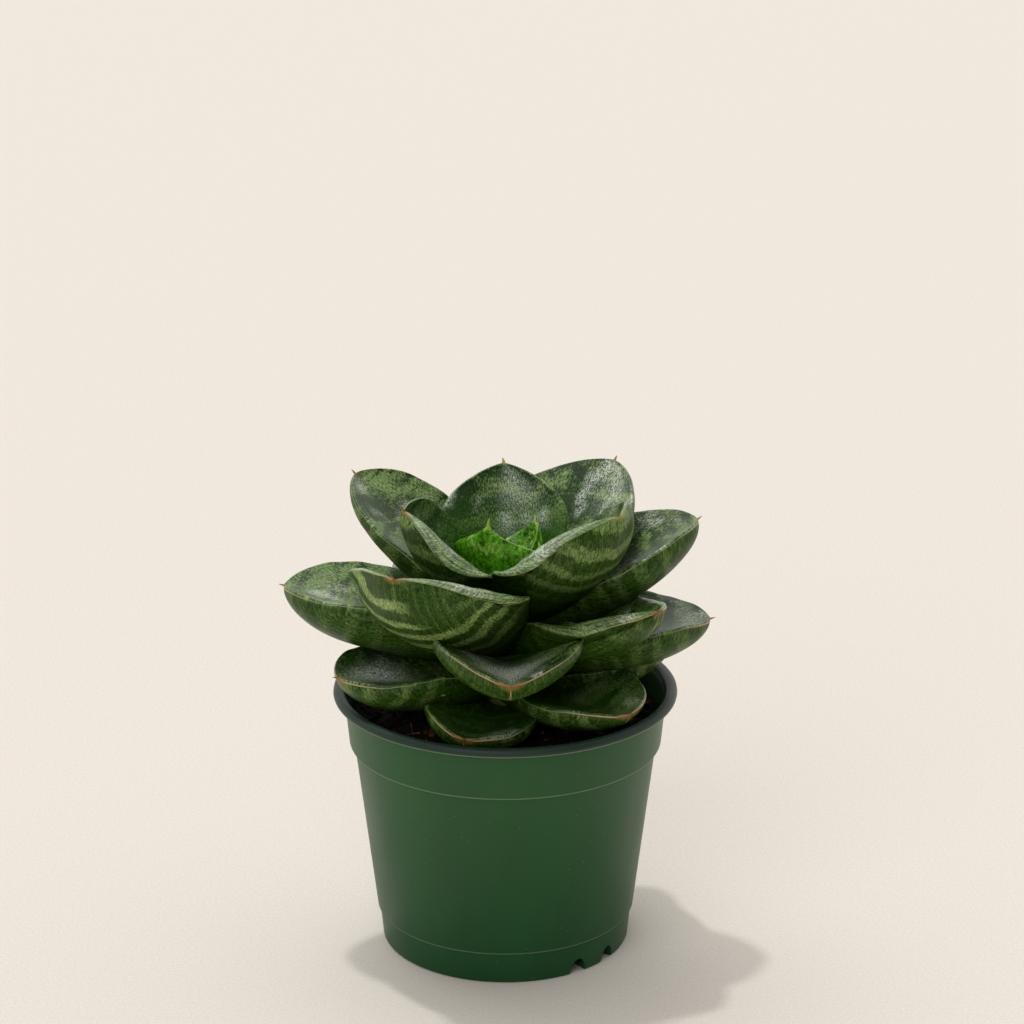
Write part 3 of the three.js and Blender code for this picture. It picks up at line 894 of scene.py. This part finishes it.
@dataclass
class NurseryPot:
    """A round nursery pot with a rolled lip, a collar, a foot band and notches in its base.

    The wall's sizes are those of its outside. A bearing of 0 faces the front and 90 the right.
    """

    lip_radius: float = 54
    height: float = 84.7
    lip_depth: float = 2.9
    collar_top: float = 50.6
    collar_foot: float = 49.1
    collar_height: float = 66.3
    body_top: float = 47.6
    band_top: float = 40.8
    band_height: float = 10.7
    band: float = 40.1
    base: float = 39.2
    wall: float = 1.6
    floor: float = 1.8
    foot: float = 0.8
    steps: int = 176
    edge: float = 0.28  # radius of the moulded edges
    corner: float = 28  # the least angle that is rounded
    sharp: float = 45  # the least angle that stays sharp
    notch_width: float = 6
    notch_height: float = 5
    notch_depth: float = 14
    notch_bearings: tuple[float, ...] = (35.5, 54.5, 215.5, 234.5)

    def profile(self) -> list[Pair]:
        """Draw the wall's section, from the middle of the base round the lip and back.

        Returns:
            The radius and height of each point, in millimetres.
        """
        lip_foot = self.height - self.lip_depth
        rim = self.lip_radius
        outside = [
            (0, 0),
            (self.base - self.foot, 0),
            (self.base - self.foot * 0.3, self.foot * 0.3),
            (self.base, self.foot),
            (self.band, self.band_height - 0.9),
            (self.band, self.band_height - 0.35),
            (self.band_top, self.band_height),
            (self.body_top, self.collar_height + 0.2),
            (self.collar_foot - 0.4, self.collar_height),
            (self.collar_foot, self.collar_height + 0.4),
            (self.collar_top, lip_foot),
            (rim - 1, lip_foot),
            (rim - 0.15, lip_foot + 0.5),
            (rim, lip_foot + 1.2),
            (rim - 0.15, self.height - 0.9),
            (rim - 0.6, self.height - 0.3),
            (rim - 1.5, self.height),
            (rim - 2.6, self.height - 0.15),
            (rim - 3.4, self.height - 0.7),
        ]
        inside = [
            (self.collar_top - self.wall, lip_foot - 1.5),
            (self.collar_foot - self.wall, self.collar_height + 1.2),
            (self.body_top - self.wall, self.collar_height - 0.6),
            (self.band_top - self.wall, self.band_height),
            (self.base - self.wall, self.floor + 1),
            (self.base - self.wall - 1, self.floor),
            (0, self.floor),
        ]
        return outside + inside

    def notch_cutter(self) -> Piece:
        """Make arched blocks that cut the openings in the edge of the base.

        Returns:
            The blocks as one object.
        """
        cutter = bmesh.new()
        for bearing in self.notch_bearings:
            ring = bmesh.ops.create_circle(cutter, cap_ends=True, segments=32, radius=1)["verts"]
            for vert in ring:
                arch = 1 if vert.co.y > 0 else 0.4
                vert.co = Vector((vert.co.x * self.notch_width / 2, 0, vert.co.y * arch)) * MM
                vert.co.z *= self.notch_height
            face = next(f for f in ring[0].link_faces)
            out = bmesh.ops.extrude_face_region(cutter, geom=[face])["geom"]
            grown = [item for item in out if isinstance(item, bmesh.types.BMVert)]
            bmesh.ops.translate(cutter, verts=grown, vec=(0, self.notch_depth * MM, 0))
            block = ring + grown
            bmesh.ops.translate(cutter, verts=block, vec=(0, -(self.band + 2) * MM, 0))
            turn = Matrix.Rotation(math.radians(bearing), 3, "Z")
            bmesh.ops.rotate(cutter, verts=block, cent=(0, 0, 0), matrix=turn)
        bmesh.ops.recalc_face_normals(cutter, faces=cutter.faces)
        return piece_from("notch_cutter", cutter, bpy.data.materials.new("notch_cutter"))

    def build(self, material: Material) -> Piece:
        """Spin the wall, round its edges and cut the notches.

        Args:
            material: The pot's plastic.

        Returns:
            The finished pot.
        """
        shape = turned_shape(self.profile(), self.steps)
        corners = [
            edge for edge in shape.edges
            if len(edge.link_faces) == 2 and edge.calc_face_angle(0) > math.radians(self.corner)
        ]
        bmesh.ops.bevel(
            shape, geom=corners, offset=self.edge * MM, offset_type="OFFSET", segments=3,
            profile=0.5, affect="EDGES", material=-1, clamp_overlap=True,
        )
        pot = piece_from("moulded_nursery_pot", shape, material)
        cutter = self.notch_cutter()
        cut = pot.modifiers.new("notches", "BOOLEAN")
        cut.operation = "DIFFERENCE"
        cut.solver = "EXACT"
        cut.object = cutter
        bpy.context.view_layer.update()
        whole = pot.data
        seen = pot.evaluated_get(bpy.context.evaluated_depsgraph_get())
        pot.data = bpy.data.meshes.new_from_object(seen)
        pot.modifiers.clear()
        bpy.data.meshes.remove(whole)
        bpy.data.objects.remove(cutter)
        while len(pot.data.materials) > 1:
            pot.data.materials.pop()
        for face in pot.data.polygons:
            face.material_index = 0
        pot.data.set_sharp_from_angle(angle=math.radians(self.sharp))
        return fit_piece(pot, "pot", "nursery_pot")


# ---------------------------------------------------------------------------- soil and stem


@dataclass(frozen=True)
class LooseMatter:
    """Dry potting mix and what lies in it: rough, broken, with no shine."""

    name: str
    dark: str
    light: str
    size: float  # mm between patches
    roughness: float = 0.95
    shine: float = 0.15
    bump: float = 0.3  # mm that the patches stand up

    def build(self) -> Material:
        """Put the matter's nodes together.

        Returns:
            The finished material.
        """
        mix = Recipe(self.name)
        patch = mix.pattern(mix.add("TexCoord", output="Object"), (self.size * MM,) * 3, 4, 0.7)
        share = mix.add("MapRange", (patch, 0.38, 0.68))
        bump = mix.add("Bump", {"Strength": 0.8, "Distance": self.bump * MM, "Height": patch})
        return mix.finish({
            "Base Color": mix.cover(self.dark, self.light, share), "Roughness": self.roughness,
            "Normal": bump, "Specular IOR Level": self.shine,
        })


@dataclass(frozen=True)
class Litter:
    """Many small broken pieces that lie on the soil.

    The sizes are the least and the most that a piece measures. The stretch is its length, width
    and thickness, as shares of that. A piece with sides is a slender tapered one.
    """

    name: str
    count: int
    sizes: Pair
    stretch: Triple
    matter: LooseMatter
    sides: int = 0


PEAT = LooseMatter("peat", "070503", "170f09", 2.5)
LITTER = [
    Litter("peat_crumbs", 1100, (0.7, 3.2), (1, 0.8, 0.7),
           LooseMatter("peat_crumb", "090604", "1c130c", 1.2)),
    Litter("bark_chips", 90, (1.8, 6), (1, 0.5, 0.25),
           LooseMatter("bark", "24160c", "6a4a2c", 1.5)),
    Litter("coir_fibres", 70, (4, 13), (1, 0.035, 0.035),
           LooseMatter("coir_fibre", "4a331e", "8a6a44", 3), sides=5),
    Litter("perlite_grains", 6, (0.8, 2), (1, 0.9, 0.8),
           LooseMatter("perlite", "6a6459", "a59e90", 1)),
]


@dataclass
class PottingSoil:
    """The filling of the pot, with crumbs, bark, fibres and perlite lying on it."""

    level: float = 77
    crown: float = 2.2
    radius: float = 48.0
    gap: float = 0.3
    rings: int = 40  # from the middle of the surface to its edge
    steps: int = 150  # round the surface
    seed: int = 11

    def height_at(self, x: float, y: float) -> float:
        """How high the surface is at a place.

        Args:
            x: How far the place is to the right of the middle.
            y: How far it is behind the middle.

        Returns:
            Its height in millimetres.
        """
        radius = math.hypot(x, y)
        dome = self.crown * (1 - min(radius / self.radius, 1) ** 2)
        coarse = math.sin(x / 3.1 + 1.3 * math.sin(y / 4.3)) * math.sin(y / 3.7 + x / 11)
        fine = math.sin(x / 0.9 + 2 * math.sin(y / 1.7)) * math.sin(y / 1.1 - x / 2.3)
        return self.level - 1 + dome + 0.7 * coarse + 0.3 * fine

    def bed(self, pot: NurseryPot, material: Material) -> Piece:
        """The body of the soil, with an uneven top.

        Args:
            pot: The pot that it fills.
            material: The potting mix.

        Returns:
            The finished bed.
        """
        inset = pot.wall + self.gap
        top = [(self.radius * k / self.rings, self.level) for k in range(self.rings - 1, -1, -1)]
        profile = [
            (0, pot.floor + self.gap),
            (pot.base - inset - 1.2, pot.floor + self.gap),
            (pot.base - inset, pot.floor + self.gap + 1.2),
            (pot.band_top - inset, pot.band_height),
            (pot.body_top - inset, pot.collar_height - 0.8),
            (pot.collar_foot - inset, pot.collar_height + 1.4),
            (pot.collar_top - inset - 0.6, self.level - 1.6),
            *top,
        ]
        shape = turned_shape(profile, self.steps)
        for vert in shape.verts:
            if vert.co.z > (self.level - 0.1) * MM:
                vert.co.z = self.height_at(vert.co.x / MM, vert.co.y / MM) * MM
        return fit_piece(piece_from("potting_mix", shape, material), "soil", "potting_soil")

    def scatter(self, litter: Litter) -> Piece:
        """Lay small broken pieces on the soil.

        Args:
            litter: What the pieces are.

        Returns:
            The pieces as one object.
        """
        chance = random.Random(f"{litter.name} {self.seed}")
        least, most = litter.sizes
        stretch = litter.stretch
        shape = bmesh.new()
        for _ in range(litter.count):
            radius = (self.radius - 1.5) * math.sqrt(chance.random())
            angle = chance.uniform(0, FULL_TURN)
            x, y = radius * math.cos(angle), radius * math.sin(angle)
            size = least + (most - least) * chance.random() ** 2
            place = Vector((x, y, self.height_at(x, y) + size * stretch[2] * 0.3)) * MM
            tilt = Euler((chance.gauss(0, 0.3), chance.gauss(0, 0.3), chance.uniform(0, FULL_TURN)))
            scale = Matrix.Diagonal([size * share * MM for share in stretch]).to_4x4()
            matrix = Matrix.Translation(place) @ tilt.to_matrix().to_4x4() @ scale
            if litter.sides:
                made = bmesh.ops.create_cone(
                    shape, cap_ends=True, segments=litter.sides, radius1=0.5, radius2=0.3, depth=1,
                    matrix=matrix @ Matrix.Rotation(math.pi / 2, 4, "Y"),
                )
            else:
                made = bmesh.ops.create_icosphere(shape, subdivisions=1, radius=0.5, matrix=matrix)
            for vert in made["verts"]:
                vert.co += Vector([chance.gauss(0, size * min(stretch) * 0.09 * MM) for _ in "xyz"])
        piece = piece_from(litter.name, shape, litter.matter.build(), smooth=False)
        return fit_piece(piece, "soil")

    def build(self, pot: NurseryPot) -> None:
        """Fill the pot and scatter what lies on top.

        Args:
            pot: The pot that the soil fills.
        """
        self.bed(pot, PEAT.build())
        for litter in LITTER:
            self.scatter(litter)


@dataclass(frozen=True)
class LeafStalkTissue:
    """The firm pale green tissue of the stem, ringed with the scars of old leaves."""

    dark: str = "53662c"
    light: str = "8a9451"
    patch: float = 4  # mm round the stem from patch to patch
    ring: float = 1.2  # mm from ring to ring
    bump: float = 0.2  # mm that the rings stand up
    roughness: float = 0.55
    ior: float = 1.45

    def build(self) -> Material:
        """Put the tissue's nodes together.

        Returns:
            The finished material.
        """
        mix = Recipe("stem_tissue")
        spot = mix.add("TexCoord", output="Object")
        ring = mix.pattern(spot, (self.patch * MM, self.patch * MM, self.ring * MM), detail=3)
        share = mix.add("MapRange", (ring, 0.35, 0.65))
        bump = mix.add("Bump", {"Strength": 0.5, "Distance": self.bump * MM, "Height": ring})
        return mix.finish({
            "Base Color": mix.cover(self.dark, self.light, share), "Normal": bump,
            "Roughness": self.roughness, "IOR": self.ior,
        })


@dataclass
class Stem:
    """The short stub that the leaves grow on."""

    bottom: float = 52
    collar: float = 78
    top: float = 109
    bottom_radius: float = 4
    collar_radius: float = 8
    top_radius: float = 3
    rings: int = 7
    ring_height: float = 0.35
    taper: float = 8  # height under the collar where it narrows
    bare: float = 16  # height of the tip above the last ring
    steps: int = 48

    def build(self) -> Piece:
        """Spin the stub, with a low ring where each old leaf was.

        Returns:
            The finished stem.
        """
        profile = [(0, self.bottom), (self.bottom_radius, self.bottom + 1)]
        profile.append((self.collar_radius - 1, self.collar - self.taper))
        rise = (self.top - self.bare - self.collar) / self.rings
        for ring in range(self.rings):
            foot = self.collar + ring * rise
            profile.append((self.collar_radius - self.ring_height, foot))
            profile.append((self.collar_radius, foot + rise * 0.25))
            profile.append((self.collar_radius - self.ring_height, foot + rise * 0.7))
        profile += [(self.top_radius, self.top - 1), (0, self.top)]
        shape = turned_shape(profile, self.steps)
        return fit_piece(piece_from("leaf_stump", shape, LeafStalkTissue().build()), "stem", "stem")


# ---------------------------------------------------------------------------- studio


@dataclass
class Studio:
    """The camera, the pale floor and plain soft light from above."""

    camera_place: Triple = (0.0021, -0.9957, 0.4855)
    camera_pitch: float = 70.95
    lens: float = 120
    floor_size: float = 8.0
    floor_colour: str = "e8e0d7"
    floor_tooth: float = 0.9  # mm, drawn coarser than the card's so that it shows
    sky_colour: tuple[float, float, float, float] = (1.0, 0.98, 0.945, 1.0)
    sky_low: float = 0.47
    sky_high: float = 0.66
    sky_back: float = 0.5
    sky_front: float = 0.4  # share of the sky's light that the front has
    lamps: tuple[tuple[str, float, float, Triple], ...] = (
        ("key", 0.8, 2.5, (0.165, -0.21, -1.0)),  # name, strength, spread and path
        ("top", 0.5, 45.0, (0.3, -0.55, -1.0)),
        ("fill", 0.82, 50.0, (0.35, 0.85, -0.72)),
    )

    def build(self) -> None:
        """Set up the camera, then the floor, then the light."""
        self.camera()
        self.floor()
        self.light()

    def camera(self) -> None:
        """Stand the camera in front of the plant, looking a little down."""
        camera = bpy.data.objects.new("camera", bpy.data.cameras.new("camera"))
        camera.data.lens = self.lens
        camera.data.sensor_width = 36
        camera.data.clip_start = 0.01
        camera.location = self.camera_place
        camera.rotation_euler = (math.radians(self.camera_pitch), 0, 0)
        bpy.context.scene.collection.objects.link(camera)
        bpy.context.scene.camera = camera

    def floor(self) -> None:
        """Lay a large sheet of matt cream card."""
        shape = bmesh.new()
        bmesh.ops.create_grid(shape, x_segments=1, y_segments=1, size=self.floor_size / 2)
        mix = Recipe("cream_card")
        spot = mix.add("TexCoord", output="Object")
        tooth = mix.pattern(spot, (self.floor_tooth * MM,) * 3, 3, 0.7)
        shade = mix.add("MapRange", (tooth, 0.3, 0.7, 0.9, 1.06))
        paper = linear(self.floor_colour)[:3]
        colour = mix.add("VectorMath", {0: paper, "Scale": shade}, operation="SCALE")
        bump = mix.add("Bump", {"Strength": 0.12, "Distance": 0.1 * MM, "Height": tooth})
        card = mix.finish({
            "Base Color": colour, "Roughness": 0.9, "Normal": bump, "Specular IOR Level": 0.2,
        })
        piece_from("studio_floor", shape, card, smooth=False)

    def light(self) -> None:
        """Light it from above and behind, fill it from the front, and dim the sky in front."""
        for name, strength, spread, path in self.lamps:
            lamp = bpy.data.lights.new(name, "SUN")
            lamp.energy = strength
            lamp.angle = math.radians(spread)
            light = bpy.data.objects.new(name, lamp)
            light.rotation_euler = Vector(path).to_track_quat("-Z", "Y").to_euler()
            bpy.context.scene.collection.objects.link(light)

        world = bpy.data.worlds.new("studio")
        sky = Recipe("studio", world)
        spot = sky.add("TexCoord", output="Generated")
        up = sky.add("SeparateXYZ", (spot,), output=2)
        away = sky.add("SeparateXYZ", (spot,), output=1)
        glow = sky.add("MapRange", (up, 0, 1, self.sky_low, self.sky_high))
        front = sky.add("MapRange", (away, -0.5, 0.1, self.sky_front, 1))
        back = sky.add("MapRange", (away, 0, 1, 0, self.sky_back))
        glow = sky.add("Math", (glow, front, back), operation="MULTIPLY_ADD")
        sky.finish({"Color": self.sky_colour, "Strength": glow}, "Background")
        bpy.context.scene.world = world
        bpy.context.scene.view_settings.view_transform = "Standard"


def main() -> None:
    """Build the studio, then the pot, the soil, the stem and every leaf."""
    logging.basicConfig(level=logging.INFO, format="%(message)s")
    Studio().build()
    pot = NurseryPot()
    pot.build(MouldedPolypropylene().build())
    PottingSoil().build(pot)
    Stem().build()
    skins = {age: skin.build() for age, skin in SKINS.items()}
    for leaf in LEAVES:
        SnakeLeaf(leaf).build(skins[leaf.age])


if __name__ == "__main__":
    main()
